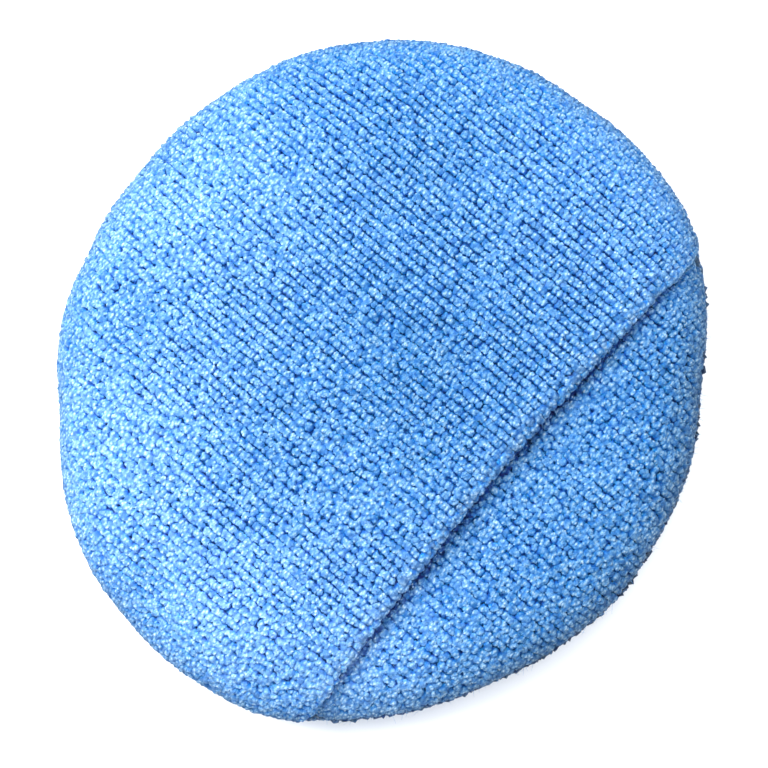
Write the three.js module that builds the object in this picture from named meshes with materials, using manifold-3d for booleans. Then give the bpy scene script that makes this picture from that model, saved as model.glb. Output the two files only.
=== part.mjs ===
// Round microfibre polishing pad with a finger pocket, in millimetres.
//
// A foam disc is held in a terry cover made of a working cover below and a face cover above. A third
// panel, the pocket, lies over most of the face cover. The three panels are sewn together round the
// side, and the pocket's straight edge, the mouth, is folded under and hemmed.
//
// The working face lies on Z = 0 with the origin at its middle. The mouth runs along X and faces -Y.
import * as THREE from "three";
import { mergeVertices } from "three/addons/utils/BufferGeometryUtils.js";
import Module from "manifold-3d";

const wasm = await Module();
wasm.setup();

// ---------------------------------------------------------------- driving dimensions
const WIDTH = 132; // across X, along the mouth, the way the knit stretches
const DEPTH = 123; // across Y
const CLOTH = 2.6; // terry cloth with the pile on its outer side
const SEWN = 0.8; // the same cloth where the side seam presses it flat
const GAP = 0.3; // between pieces that lie on each other
const FOAM_THICKNESS = 13;
const SEAM_MARGIN = 6.5; // cloth turned in beyond the side seam
const FINGER_SPACE = 4.5; // between face cover and pocket, at the middle, lying flat
const MOUTH_Y = -31.5; // the mouth at its middle
const MOUTH_BOW = 1.5; // how much nearer the rim its two ends lie
const HEM_WIDTH = 9; // turned under at the mouth
const HEM_CLOTH = 2.3; // the turned-under layer, pressed
const THREAD = 0.45; // sewing thread across
const CLOSING_Y = 35; // the slit through which the foam goes in
const CLOSING_LENGTH = 56;
const CLOSING_STITCHES = 14;

// ---------------------------------------------------------------- sizes worked out from them
const RADIUS = (WIDTH + DEPTH) / 4; // every piece is turned round and then stretched to the oval
const FOAM_BOTTOM = CLOTH + GAP;
const FOAM_TOP = FOAM_BOTTOM + FOAM_THICKNESS;
const FACE_TOP = FOAM_TOP + GAP + CLOTH;
const POCKET_TOP = FACE_TOP + FINGER_SPACE + CLOTH;
const FACE_RADIUS = RADIUS - CLOTH - 2 * GAP; // the pocket wraps round the face cover

// The three turned-in edges lie on each other at the height of the side seam.
const SEAM_Z = 8.5;
const WORKING_EDGE = [SEAM_Z, SEAM_Z + SEWN];
const POCKET_EDGE = WORKING_EDGE.map((z) => z + SEWN + GAP);
const FACE_EDGE = POCKET_EDGE.map((z) => z + SEWN + GAP);
const POCKET_HEM_Z = POCKET_EDGE[1] + GAP; // the lowest point of the pocket panel
const EDGE_RADIUS = RADIUS - CLOTH - SEAM_MARGIN; // where the turned-in edges end

const WORKING_FLAT = 48; // radii at which the flat faces begin to curve into the side
const FACE_FLAT = 46;
const POCKET_FLAT = 24;
const SIDE_POWER = 2; // an ellipse
const POCKET_POWER = 2.6; // fuller than an ellipse, as cloth drawn over the rim lies

const TURNS = 60; // facets round the pad
const CURVE = 6; // facets along a rounded side
const BEYOND = RADIUS * 1.2; // half size of a cutter that reaches past the pad
const ROOM = 60; // height of a cutter

// ---------------------------------------------------------------- solids
function solidOf(geometry) {
  const bare = geometry.index ? geometry.toNonIndexed() : geometry.clone();
  bare.deleteAttribute("normal");
  bare.deleteAttribute("uv");
  const merged = mergeVertices(bare, 1e-4);
  return new wasm.Manifold(
    new wasm.Mesh({
      numProp: 3,
      vertProperties: merged.attributes.position.array,
      triVerts: new Uint32Array(merged.index.array),
    }),
  );
}

function geometryOf(solid) {
  const mesh = solid.getMesh();
  const geometry = new THREE.BufferGeometry();
  geometry.setAttribute("position", new THREE.BufferAttribute(mesh.vertProperties, 3));
  geometry.setIndex(new THREE.BufferAttribute(mesh.triVerts, 1));
  const flat = geometry.toNonIndexed();
  flat.computeVertexNormals();
  return flat;
}

// A profile of [radius, height] pairs, turned about Z. It runs anticlockwise, with radius to the right.
function turned(profile) {
  const points = profile.map(([r, z]) => new THREE.Vector2(r, z));
  return solidOf(new THREE.LatheGeometry(points, TURNS).rotateX(Math.PI / 2));
}

// A closed profile that doesn't touch the axis, turned into a ring.
function ring(profile) {
  return turned([...profile, profile[0]]);
}

function extruded(outline, depth, z) {
  const shape = new THREE.Shape(outline);
  const geometry = new THREE.ExtrudeGeometry(shape, { depth, bevelEnabled: false });
  return solidOf(geometry.translate(0, 0, z));
}

function box(x, y, z, size) {
  const geometry = new THREE.BoxGeometry(size[0], size[1], size[2]);
  return solidOf(geometry.translate(x, y, z));
}

// The upper or lower quarter of a super-ellipse from the side, (outer, base), to the flat, (flat, top).
function shoulder(flat, outer, base, top, power) {
  const points = [];
  for (let i = 0; i <= CURVE; i++) {
    const angle = (i / CURVE) * (Math.PI / 2);
    const across = Math.cos(angle) ** (2 / power);
    const up = Math.sin(angle) ** (2 / power);
    points.push([flat + (outer - flat) * across, base + (top - base) * up]);
  }
  return points;
}

// Everything that lies from `from` to `to` behind the mouth's edge, on the side where the pocket is.
function behindMouth(from, to) {
  const half = BEYOND;
  const bowRadius = (RADIUS ** 2 * 0.72) / (2 * MOUTH_BOW); // half the mouth is 0.85 of the radius
  const edge = (x, offset) => MOUTH_Y + offset - (bowRadius - Math.sqrt(bowRadius ** 2 - x ** 2));
  const steps = [-1, -0.75, -0.5, -0.25, 0, 0.25, 0.5, 0.75, 1].map((t) => t * half);
  const outline = steps.map((x) => new THREE.Vector2(x, edge(x, from)));
  outline.push(...steps.reverse().map((x) => new THREE.Vector2(x, edge(x, to))));
  return extruded(outline, ROOM, 0);
}

// ---------------------------------------------------------------- foam
function foamCore() {
  const groove = GAP + 2 * THREAD; // room for the stitching on the turned-in edges
  const low = WORKING_EDGE[0] - groove;
  const high = FACE_EDGE[1] + groove;
  const under = shoulder(WORKING_FLAT, RADIUS - CLOTH - GAP, SEAM_Z, FOAM_BOTTOM, SIDE_POWER);
  const over = shoulder(FACE_FLAT, FACE_RADIUS - CLOTH - GAP, FACE_EDGE[0], FOAM_TOP, SIDE_POWER);
  const whole = turned([[0, FOAM_BOTTOM], ...under.reverse(), ...over, [0, FOAM_TOP]]);
  const notch = EDGE_RADIUS - THREAD - 2 * GAP;
  return whole.subtract(
    ring([
      [notch, low],
      [RADIUS, low],
      [RADIUS, high],
      [notch, high],
    ]),
  );
}

// ---------------------------------------------------------------- covers
function workingCover() {
  const outside = shoulder(WORKING_FLAT, RADIUS, WORKING_EDGE[1], 0, SIDE_POWER).reverse();
  const inside = shoulder(WORKING_FLAT, RADIUS - CLOTH, WORKING_EDGE[0], CLOTH, SIDE_POWER);
  return turned([
    [0, 0],
    ...outside,
    [EDGE_RADIUS, WORKING_EDGE[1]],
    [EDGE_RADIUS, WORKING_EDGE[0]],
    ...inside,
    [0, CLOTH],
  ]);
}

// The face cover's outer side, `grow` outside it.
function faceOutline(radius, grow) {
  return shoulder(FACE_FLAT, radius + grow, FACE_EDGE[0], FACE_TOP + grow, SIDE_POWER);
}

function faceShell(radius, low) {
  const inside = shoulder(FACE_FLAT, FACE_RADIUS - CLOTH, FACE_EDGE[1], FACE_TOP - CLOTH, SIDE_POWER);
  return turned([
    [0, FACE_TOP - CLOTH],
    ...inside.reverse(),
    [EDGE_RADIUS, FACE_EDGE[1]],
    [EDGE_RADIUS, low],
    [radius, low],
    ...faceOutline(radius, 0),
    [0, FACE_TOP],
  ]);
}

// In front of the mouth, where no pocket lies over it, the face cover fills the side out to the seam.
function faceCover() {
  const covered = faceShell(FACE_RADIUS, FACE_EDGE[0]).intersect(behindMouth(-CLOTH, 2 * BEYOND));
  const open = faceShell(RADIUS, POCKET_EDGE[0]).subtract(behindMouth(-GAP, 2 * BEYOND));
  return covered.add(open).subtract(box(0, CLOSING_Y, FACE_TOP, [CLOSING_LENGTH, GAP, 3 * CLOTH]));
}

// ---------------------------------------------------------------- pocket
// The space under the pocket's outer side, shrunk by `inset`.
function dome(inset) {
  return turned([
    [0, POCKET_HEM_Z],
    ...shoulder(POCKET_FLAT, RADIUS - inset, POCKET_HEM_Z, POCKET_TOP - inset, POCKET_POWER),
    [0, POCKET_TOP - inset],
  ]);
}

function domeShell(outer, inner) {
  return dome(outer).subtract(dome(inner));
}

// A strip along the hem's stitching, `inset` under the pocket's outer side.
function hemLine(inset, width, thickness, length) {
  const middle = HEM_WIDTH - 2;
  const strip = behindMouth(middle - width / 2, middle + width / 2);
  const span = box(0, 0, ROOM / 2, [length, 2 * BEYOND, ROOM]);
  return domeShell(inset, inset + thickness).intersect(strip).intersect(span);
}

const HEM_TOP = CLOTH + GAP; // insets of the turned-under layer
const HEM_BOTTOM = HEM_TOP + HEM_CLOTH;
const HEM_STITCHING = 72; // from end to end; beyond it the hem lies on the face cover
const GROOVE = THREAD + 2 * GAP; // the thread lies sunk in the pile; the cutter starts in the open air
const NOSE = [
  // the rounded fold, as steps: how far behind the mouth's edge, and how far inside the two faces
  [0, 1.4],
  [0.45, 0.6],
  [1.3, 0],
];

function pocketPanel() {
  const panel = domeShell(0, CLOTH).intersect(behindMouth(NOSE[2][0], 2 * BEYOND));
  const under = domeShell(HEM_TOP, HEM_BOTTOM).intersect(behindMouth(NOSE[2][0], HEM_WIDTH));
  const folds = NOSE.map(([back, inset]) =>
    domeShell(inset, HEM_BOTTOM - inset).intersect(behindMouth(back, CLOTH)),
  );
  const outline = faceOutline(FACE_RADIUS, GAP);
  const face = turned([[0, 0], [FACE_RADIUS + GAP, 0], ...outline, [0, FACE_TOP + GAP]]);
  const cut = [THREAD + 2 * GAP, GROOVE, HEM_STITCHING + 2 * GAP];
  return wasm.Manifold.union([panel, under, ...folds])
    .subtract(face)
    .subtract(hemLine(-GAP, ...cut))
    .subtract(hemLine(HEM_BOTTOM + GAP - GROOVE, ...cut));
}

function hemThread(inset) {
  return hemLine(inset, THREAD, THREAD, HEM_STITCHING);
}

function pocketSeamEdge() {
  const [low, high] = POCKET_EDGE;
  const outline = [
    [EDGE_RADIUS, low],
    [RADIUS, low],
    [RADIUS, high],
    [EDGE_RADIUS, high],
  ];
  return ring(outline).intersect(behindMouth(0, 2 * BEYOND));
}

// ---------------------------------------------------------------- sewing threads
// Overlock stitches bind the three turned-in edges: a channel that laps over their ends.
function overlockThread() {
  const [low, high] = [WORKING_EDGE[0] - GAP, FACE_EDGE[1] + GAP];
  const lap = EDGE_RADIUS + 1.2;
  const inner = EDGE_RADIUS - GAP;
  return ring([
    [inner - THREAD, low - THREAD],
    [lap, low - THREAD],
    [lap, low],
    [inner, low],
    [inner, high],
    [lap, high],
    [lap, high + THREAD],
    [inner - THREAD, high + THREAD],
  ]);
}

// One side of the lock stitch that joins the panels, a ring of thread lying on their turned-in edges.
function seamThread(z) {
  const middle = EDGE_RADIUS + 2.2;
  const sides = 6;
  const section = [];
  for (let i = 0; i < sides; i++) {
    const angle = (i / sides) * 2 * Math.PI;
    section.push([middle + (THREAD / 2) * Math.cos(angle), z + (THREAD / 2) * Math.sin(angle)]);
  }
  return ring(section);
}

// A zigzag of thread that closes the slit in the face cover.
function closingThread() {
  const reach = 1.6; // each side of the slit
  const centre = [];
  for (let i = 0; i <= CLOSING_STITCHES; i++) {
    const x = (i / CLOSING_STITCHES - 0.5) * CLOSING_LENGTH;
    centre.push(new THREE.Vector2(x, CLOSING_Y + (i % 2 ? reach : -reach)));
  }
  const half = new THREE.Vector2(0, THREAD);
  const outline = [
    ...centre.map((p) => p.clone().sub(half)),
    ...centre.map((p) => p.clone().add(half)).reverse(),
  ];
  return extruded(outline, THREAD, FACE_TOP + GAP);
}

// ---------------------------------------------------------------- the pad
const TERRY = { color: 0x5f9fe8, roughness: 1, metalness: 0 };
const FOAM = { color: 0xf2efe6, roughness: 1, metalness: 0 };
const POLYESTER = { color: 0x4f8fdc, roughness: 0.6, metalness: 0 };

function piece(name, solid, finish) {
  const geometry = geometryOf(solid).scale(WIDTH / (2 * RADIUS), DEPTH / (2 * RADIUS), 1);
  const mesh = new THREE.Mesh(geometry, new THREE.MeshStandardMaterial(finish));
  mesh.name = name;
  return mesh;
}

const body = new THREE.Group();
body.add(
  piece("foam_core", foamCore(), FOAM),
  piece("working_cover", workingCover(), TERRY),
  piece("face_cover", faceCover(), TERRY),
  piece("pocket_seam_edge", pocketSeamEdge(), TERRY),
  piece("overlock_thread", overlockThread(), POLYESTER),
  piece("seam_needle_thread", seamThread(FACE_EDGE[1] + GAP + THREAD / 2), POLYESTER),
  piece("seam_bobbin_thread", seamThread(WORKING_EDGE[0] - GAP - THREAD / 2), POLYESTER),
  piece("closing_thread", closingThread(), POLYESTER),
);

const pocket = new THREE.Group();
pocket.add(
  piece("pocket_panel", pocketPanel(), TERRY),
  piece("hem_needle_thread", hemThread(0), POLYESTER),
  piece("hem_bobbin_thread", hemThread(HEM_BOTTOM - THREAD), POLYESTER),
);

const pad = new THREE.Group();
pad.add(body, pocket);

export default pad;
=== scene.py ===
"""Polishing pad: the cloth, pile, stitching and foam of a round microfibre pad with a finger pocket.

The pad is made of three cut panels of terry cloth: a working cover below, a face cover above and a pocket
over most of the face cover. Each panel is a flat cut drawn over a form, and its pile is knitted in ribs, so
every loop gets its place on the flat cut first and is then carried onto the form. Lengths in this file are
in millimetres until a mesh is made.
"""

import math

import bpy
import numpy as np
from bpy.props import FloatProperty, FloatVectorProperty, PointerProperty
from mathutils import Matrix, Vector


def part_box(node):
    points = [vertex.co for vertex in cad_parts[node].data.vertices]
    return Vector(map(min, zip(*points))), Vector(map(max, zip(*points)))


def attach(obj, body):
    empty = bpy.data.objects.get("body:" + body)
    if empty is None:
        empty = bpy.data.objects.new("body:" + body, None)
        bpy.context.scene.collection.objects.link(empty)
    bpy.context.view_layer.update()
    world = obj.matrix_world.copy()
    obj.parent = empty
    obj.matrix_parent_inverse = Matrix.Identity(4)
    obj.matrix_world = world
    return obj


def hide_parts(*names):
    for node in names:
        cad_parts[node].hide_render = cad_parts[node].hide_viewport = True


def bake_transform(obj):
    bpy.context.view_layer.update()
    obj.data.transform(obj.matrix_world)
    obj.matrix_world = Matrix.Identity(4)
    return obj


bl_info = {
    "name": "Polishing pad",
    "version": (1, 0, 0),
    "blender": (4, 5, 0),
    "location": "3D View > Sidebar > Polishing pad",
    "description": "Builds the cloth, pile, stitching and foam of a polishing pad with a finger pocket",
    "category": "Add Mesh",
}

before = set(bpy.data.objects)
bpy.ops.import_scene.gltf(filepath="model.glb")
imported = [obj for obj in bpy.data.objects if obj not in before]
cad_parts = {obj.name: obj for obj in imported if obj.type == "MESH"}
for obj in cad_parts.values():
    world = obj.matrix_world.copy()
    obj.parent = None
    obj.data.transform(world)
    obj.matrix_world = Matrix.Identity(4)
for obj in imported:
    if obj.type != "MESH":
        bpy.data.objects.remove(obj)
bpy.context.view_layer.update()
MM = 0.001


# ---------------------------------------------------------------- sizes taken from the frame
def low_high(node):
    """The lowest and the highest corner of a node's box, in millimetres."""
    return (np.array(corner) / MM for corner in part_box(node))


HALF_WIDTH, HALF_DEPTH, _ = list(low_high("working_cover"))[1]
MEAN_RADIUS = (HALF_WIDTH + HALF_DEPTH) / 2
(_, MOUTH_Y, _), (_, _, POCKET_TOP) = low_high("pocket_panel")
FACE_TOP = list(low_high("face_cover"))[1][2]
(_, _, FOAM_LOW), (_, _, FOAM_TOP) = low_high("foam_core")
(_, _, EDGE_LOW), (_, _, EDGE_TOP) = low_high("pocket_seam_edge")
SEAM_Z = (EDGE_LOW + EDGE_TOP) / 2

# Soft corners and flats of the hand-cut outline: direction in degrees, height and width in degrees.
OUTLINE = (
    (55, 1.0, 24),
    (138, -1.7, 15),
    (203, 1.7, 16),
    (240, -0.5, 9),
    (268, 0.6, 9),
    (308, -1.3, 11),
    (335, 0.8, 12),
    (5, -0.8, 13),
)
# Patches of painted light and shade, for pile that lies towards the light or away from it: across, away, radius
# in mm, and how much lighter.
PAINTED_LIGHT_PATCHES = (
    (-42, 26, 22, 0.17),
    (-50, -8, 16, 0.21),
    (2, 48, 18, 0.16),
    (-20, 44, 10, -0.10),
    (-24, 4, 12, -0.08),
    (6, -4, 20, -0.16),
    (38, 16, 12, -0.10),
    (30, -44, 16, -0.05),
    (-44, -38, 18, 0.18),
    (58, -20, 22, 0.13),
    (42, 36, 16, -0.06),
    (0, -50, 26, -0.02),
)
HALF_MOUTH = 62  # from the middle of the mouth to its ends
MOUTH_SAG = 3.1  # how much farther out the mouth's ends lie than its middle
DROOP = 3.2  # how far the pocket sinks at its mouth, and over how much
DROOP_LENGTH = 17
WRAP = 3.4  # how much smaller the face cover is where the pocket wraps it
TUCK = 0.9  # how far the seam draws the covers in
TUCK_HEIGHT = 1.6
SEAM_MARGIN = 6.5  # turned in beyond the side seam
FOAM_INSET = 8.5  # from the side seam to the foam
FOAM_FLAT = 0.5  # of the foam's profile, as a turn in radians, is its flat face
SEAM_GAP = 0.1  # from the seam to the pile on either side
TURNED_PILE = 1.3  # how far the pile goes on over the turned-in edges, so that it closes over the seam
HEM_SHORT = 6.0  # the hem's ground ends this far before the mouth does
HEM_GROUND = (0.3, 0.7)  # thickness of the hem's ground, at least and at most
HEM_STITCHES = 2  # from the hem's edge to its stitches
ROOTS = 0.15  # the ground covers the loops' roots by this much
THREAD_LIFT = 0.35  # a thread lies this much above the loops' roots
RIM_SHEEN = 0.48  # how strong the painted sheen is at the side seam
RIM_WIDTH = 7.0
LONGEST_SWELL = 62.0  # the longest wave of a stuffed cover's unevenness
GRID = 1.5  # between two points that keep how far the simulated cloth moved
SPREAD = 3.0  # over which the simulated moves are evened out
SEED = 20


def linear(colour):
    """The linear colour of an sRGB hex value, with alpha 1."""
    parts = [int(colour[i : i + 2], 16) / 255 for i in (1, 3, 5)]
    return [c / 12.92 if c <= 0.04045 else ((c + 0.055) / 1.055) ** 2.4 for c in parts] + [1.0]


# ---------------------------------------------------------------- what a user may change
def length(name, description, default):
    """A length in millimetres."""
    return FloatProperty(name=name, description=description, default=default, min=0.0, max=200.0)


def colour(name, description, default):
    """A colour given as an sRGB hex value."""
    return FloatVectorProperty(
        name=name, description=description, default=linear(default), size=4, subtype="COLOR", min=0, max=1
    )


class PadSizes(bpy.types.PropertyGroup):
    """Sizes of the cloth and the stitching, in millimetres."""

    wale: length("Wale", "Distance between two ribs of the knit", 1.66)
    course: length("Course", "Distance between two loops along a rib", 0.88)
    pile: length("Pile", "Height of the loops above the ground of the cloth", 1.75)
    ground: length("Ground", "Thickness of the cloth without its pile", 0.85)
    fold: length("Fold", "Height of the folded mouth of the pocket", 4.0)
    hem: length("Hem", "Width of the cloth that is turned under at the mouth", 9.0)
    thread: length("Thread", "Thickness of the sewing thread", 0.42)
    stitch: length("Stitch", "Length of one stitch", 3.0)


class PadColours(bpy.types.PropertyGroup):
    """Colours of the cloth, the thread and the foam."""

    # The pile's blue runs from root to tip: painted shade at the root, deep between the loops, and painted
    # light at the paler tip.
    root: colour("Pile root", "Loops deep in the pile", "#0465c4")
    body: colour("Pile body", "The sides of the loops", "#248fdb")
    tip: colour("Pile tip", "The tops of the loops", "#72a3d2")
    # Painted highlight, where fibres catch the light.
    split: colour("Split fibres", "Fibres that stand out of a loop and catch the light", "#aecff0")
    # Pale grey-blue mixed in where the tone is above nought: painted sheen over the rounded side seam, and
    # greyer loops round the folded mouth.
    worn: colour("Pile at the fold", "Loops that open out over the folded mouth", "#728aa5")
    # Painted shadow along the pocket's mouth and under the fold.
    pressed: colour("Pressed pile", "Loops that are pressed together under the mouth", "#0b4794")
    ground: colour("Ground", "The knitted ground of the cloth", "#1458b0")
    thread: colour("Thread", "Sewing thread", "#457fc4")
    foam: colour("Foam", "Foam core", "#f0ecdf")
    floor: colour("Floor", "Table top under the pad", "#f4f5f6")


# ---------------------------------------------------------------- the form that the cloth is drawn over
def rim(angle):
    """Distance from the middle to the rim: an oval, plus a bell-shaped rise or dip for each soft corner."""
    oval = 1 / np.sqrt((np.cos(angle) / HALF_WIDTH) ** 2 + (np.sin(angle) / HALF_DEPTH) ** 2)
    for direction, height, width in OUTLINE:
        off = np.degrees(np.angle(np.exp(1j * (angle - math.radians(direction)))))
        oval = oval + height * np.exp(-((off / width) ** 2))
    return oval


def swell(x, y, seed, height, longest):
    """Soft unevenness of a stuffed cover: a sum of sine waves in many directions, each shorter and lower."""
    rng = np.random.default_rng(seed)
    total = np.zeros(np.broadcast(x, y).shape)
    for k in range(9):
        turn, phase = rng.uniform(0, 2 * np.pi, 2)
        wave = longest * 0.84**k
        total += 0.86**k * np.sin(2 * np.pi * (x * np.cos(turn) + y * np.sin(turn)) / wave + phase)
    return height * total / 2.5


class Panel:
    """A cut panel of terry cloth on its form.

    A point of the cut is given by how far across, along the mouth, and how far away from it lies from the
    middle. It comes to lie as far from the middle along the form as it was on the flat cut. The form is a
    flat face of radius `flat`, outside it a quarter of a super-ellipse down to the seam, and then the edge
    that is turned in.
    """

    def __init__(self, flat, face_z, seam_z, power, seed, uneven, shape=None):
        turn = np.linspace(0, np.pi / 2, 500)
        r = np.append(0, flat + (MEAN_RADIUS - flat) * np.sin(turn) ** (2 / power))
        z = np.append(face_z, seam_z + (face_z - seam_z) * np.cos(turn) ** (2 / power))
        r = r - TUCK * np.exp(-(((z - seam_z) / TUCK_HEIGHT) ** 2)) * (r > flat)
        seam = len(r) - 1
        r, z = np.append(r, r[-1] - SEAM_MARGIN), np.append(z, z[-1])
        self.along = np.append(0, np.cumsum(np.hypot(np.diff(r), np.diff(z))))
        self.r, self.z = r, z
        self.reach = self.along[seam]
        self.side = 1 if face_z > seam_z else -1
        self.seam_z, self.face_z = seam_z, face_z
        self.seed, self.uneven, self.shape = seed, uneven, shape
        self.moves = None

    def tips(self, across, away):
        """The form's outer side, where the pile ends."""
        angle = np.arctan2(away, across)
        grow = rim(angle) / MEAN_RADIUS
        out = np.hypot(across, away) / grow
        r = np.interp(out, self.along, self.r) * grow
        z = np.interp(out, self.along, self.z)
        x, y = r * np.cos(angle), r * np.sin(angle)
        share = np.clip((z - self.seam_z) / (self.face_z - self.seam_z), 0, 1)
        z = z + share * swell(x, y, self.seed, self.uneven, LONGEST_SWELL)
        points = np.stack([x, y, z], -1)
        points = self.shape(points) if self.shape else points
        return points if self.moves is None else points + self.moved(across, away)

    def moved(self, across, away):
        """How far the simulated cloth moved, read between the points of a square grid on the flat cut."""
        last = len(self.moves) - 1.001
        i = np.clip(across / GRID + last / 2, 0, last)
        j = np.clip(away / GRID + last / 2, 0, last)
        a, b = i.astype(int), j.astype(int)
        u, v = (i - a)[..., None], (j - b)[..., None]
        near = self.moves[a, b] * (1 - v) + self.moves[a, b + 1] * v
        far = self.moves[a + 1, b] * (1 - v) + self.moves[a + 1, b + 1] * v
        return near * (1 - u) + far * u

    def settle(self, before, after):
        """Takes over how the points of a simulated shell moved: the mean of those near by, each weighted by a
        bell curve of its distance."""
        half = int(self.reach * 1.2 / GRID)
        line = np.arange(-half, half + 1) * GRID
        across, away = np.meshgrid(line, line, indexing="ij")
        places = self.tips(across, away)
        moves = np.zeros_like(places)
        for row in range(len(line)):
            away_from = ((places[row][:, None] - before[None]) ** 2).sum(-1)
            weight = np.exp(-away_from / (2 * SPREAD**2)) + 1e-12
            moves[row] = weight @ (after - before) / weight.sum(1, keepdims=True)
        if self.side < 0:  # the working face lies flat
            moves[..., 2] = np.clip(moves[..., 2], 0, None)
        self.moves = moves

    def edge(self, angle):
        """How far the cut reaches from its middle in a direction."""
        return self.reach * rim(angle) / MEAN_RADIUS

    def frame_at(self, across, away):
        """Points on the outer side, with the outward normal, the direction across and the one along a rib."""
        step = 0.25
        here = self.tips(across, away)
        over = unit(self.tips(across + step, away) - self.tips(across - step, away))
        rib = unit(self.tips(across, away + step) - self.tips(across, away - step))
        out = unit(np.cross(over, rib)) * self.side
        over = unit(over - dot(over, out) * out)
        return here, out, over, np.cross(out, over)

    def under(self, across, away, depth):
        """Points `depth` inside the outer side."""
        here, out, _, _ = self.frame_at(across, away)
        return here - out * np.asarray(depth)[..., None]


def unit(vectors):
    """The vectors made one long."""
    return vectors / np.maximum(np.linalg.norm(vectors, axis=-1, keepdims=True), 1e-9)


def dot(a, b):
    """The dot product of each pair of vectors, kept as a column."""
    return (a * b).sum(-1, keepdims=True)


def droop(points):
    """The pocket's mouth lies down on the face cover: it sinks by a bell curve of the distance behind it."""
    behind = np.clip(points[..., 1] - MOUTH_Y, 0, None)
    middle = np.clip(1 - (points[..., 0] / HALF_MOUTH) ** 2, 0, 1)
    sunk = DROOP * np.exp(-((behind / DROOP_LENGTH) ** 2)) * middle
    return points - np.stack([np.zeros_like(sunk), np.zeros_like(sunk), sunk], -1)


def mouth(across):
    """Where the mouth lies on the pocket's flat cut: a shallow arc, farther out towards its ends, and a little
    uneven."""
    return MOUTH_Y + 0.45 - MOUTH_SAG * (across / HALF_MOUTH) ** 2 + swell(across, 0.0, SEED + 7, 0.22, 13.0)


def wrapped(points):
    """The face cover is wrapped by the pocket: its side is drawn in under the pocket, by an S-shaped step at
    the mouth, the more the lower it is, and let out in front of the mouth."""
    r = np.linalg.norm(points[..., :2], axis=-1)
    behind = 1 / (1 + np.exp(-(points[..., 1] - MOUTH_Y + 1.0) / 0.9))
    low = np.clip((FACE_TOP - points[..., 2]) / (FACE_TOP - SEAM_Z), 0, 1)
    scale = 1 - WRAP * behind * low / np.maximum(r, 1)
    return points * np.stack([scale, scale, np.ones_like(scale)], -1)


PANELS = {
    "working": Panel(47, 0.0, SEAM_Z - SEAM_GAP, 2.3, SEED + 1, uneven=0.0),
    "face": Panel(44, FACE_TOP, SEAM_Z + SEAM_GAP, 2.2, SEED + 2, uneven=0.3, shape=wrapped),
    "pocket": Panel(24, POCKET_TOP, SEAM_Z + SEAM_GAP, 2.6, SEED + 3, uneven=0.5, shape=droop),
}


# ---------------------------------------------------------------- meshes
def new_piece(name, points, faces, material, smooth=True, **values):
    """A mesh piece at the origin, from points in millimetres and arrays of faces with a row a face."""
    mesh = bpy.data.meshes.new(name)
    faces = [np.asarray(f, np.int32) for f in faces if len(f)]
    sizes = np.concatenate([np.full(len(f), f.shape[1]) for f in faces]).astype(np.int32)
    mesh.vertices.add(len(points))
    mesh.vertices.foreach_set("co", (np.asarray(points, np.float32) * MM).ravel())
    mesh.loops.add(int(sizes.sum()))
    mesh.loops.foreach_set("vertex_index", np.concatenate([f.ravel() for f in faces]))
    mesh.polygons.add(len(sizes))
    mesh.polygons.foreach_set("loop_start", np.append(0, np.cumsum(sizes)[:-1]).astype(np.int32))
    mesh.polygons.foreach_set("use_smooth", np.full(len(sizes), smooth))
    mesh.update(calc_edges=True)
    mesh.validate()
    for key, value in values.items():
        layer = mesh.attributes.new(key, "FLOAT", "POINT")
        layer.data.foreach_set("value", np.asarray(value, np.float32))
    mesh.materials.append(material)
    piece = bpy.data.objects.new(name, mesh)
    bpy.context.collection.objects.link(piece)
    return piece


def grid_faces(rows, columns, around=False, start=0):
    """Quads of a grid of points, row by row. They face the side that rows x columns points to."""
    i = np.arange(rows - 1)[:, None]
    j = np.arange(columns if around else columns - 1)[None, :]
    k = (j + 1) % columns
    a, b = i * columns + j, i * columns + k
    c, d = (i + 1) * columns + k, (i + 1) * columns + j
    return np.stack([a, d, c, b], -1).reshape(-1, 4) + start


def slab(outer, inner):
    """A closed sheet of cloth between two grids of points: both sides, and a wall round their edge."""
    rows, columns = outer.shape[:2]
    count = rows * columns
    points = np.concatenate([outer.reshape(-1, 3), inner.reshape(-1, 3)])
    index = np.arange(count).reshape(rows, columns)
    border = np.concatenate([index[0, :-1], index[:-1, -1], index[-1, :0:-1], index[:0:-1, 0]])
    after = np.roll(border, -1)
    wall = np.stack([border, after, after + count, border + count], -1)
    return points, [grid_faces(rows, columns), grid_faces(rows, columns, start=count)[:, ::-1], wall]


def bowl(outer, inner):
    """A closed round cover between two grids of rings. The first ring of each is a single point, repeated."""
    rings, around = outer.shape[:2]
    points, faces = [], []
    for side, grid in enumerate((outer, inner)):
        start = side * (1 + (rings - 1) * around)
        points.append(np.concatenate([grid[:1, 0], grid[1:].reshape(-1, 3)]))
        quads = grid_faces(rings - 1, around, True, start + 1)
        ring = start + 1 + np.arange(around)
        cap = np.stack([np.full(around, start), ring, np.roll(ring, -1)], -1)
        faces += [quads[:, ::-1], cap[:, ::-1]] if side else [quads, cap]
    last = 1 + (rings - 2) * around + np.arange(around)
    count = 1 + (rings - 1) * around
    wall = np.stack([last, last + count, np.roll(last, -1) + count, np.roll(last, -1)], -1)
    return np.concatenate(points), faces + [wall]


def coordinates(mesh):
    """The points of a mesh in millimetres."""
    flat = np.zeros(len(mesh.vertices) * 3, np.float32)
    mesh.vertices.foreach_get("co", flat)
    return flat.reshape(-1, 3).astype(float) / MM


def face_outwards(piece):
    """Turns the faces of a closed piece outwards if its volume comes out negative."""
    mesh = piece.data
    mesh.calc_loop_triangles()
    corners = np.zeros(len(mesh.loop_triangles) * 3, np.int32)
    mesh.loop_triangles.foreach_get("vertices", corners)
    a, b, c = coordinates(mesh)[corners.reshape(-1, 3)].transpose(1, 0, 2)
    if (a * np.cross(b, c)).sum() < 0:
        mesh.flip_normals()
    return piece


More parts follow.
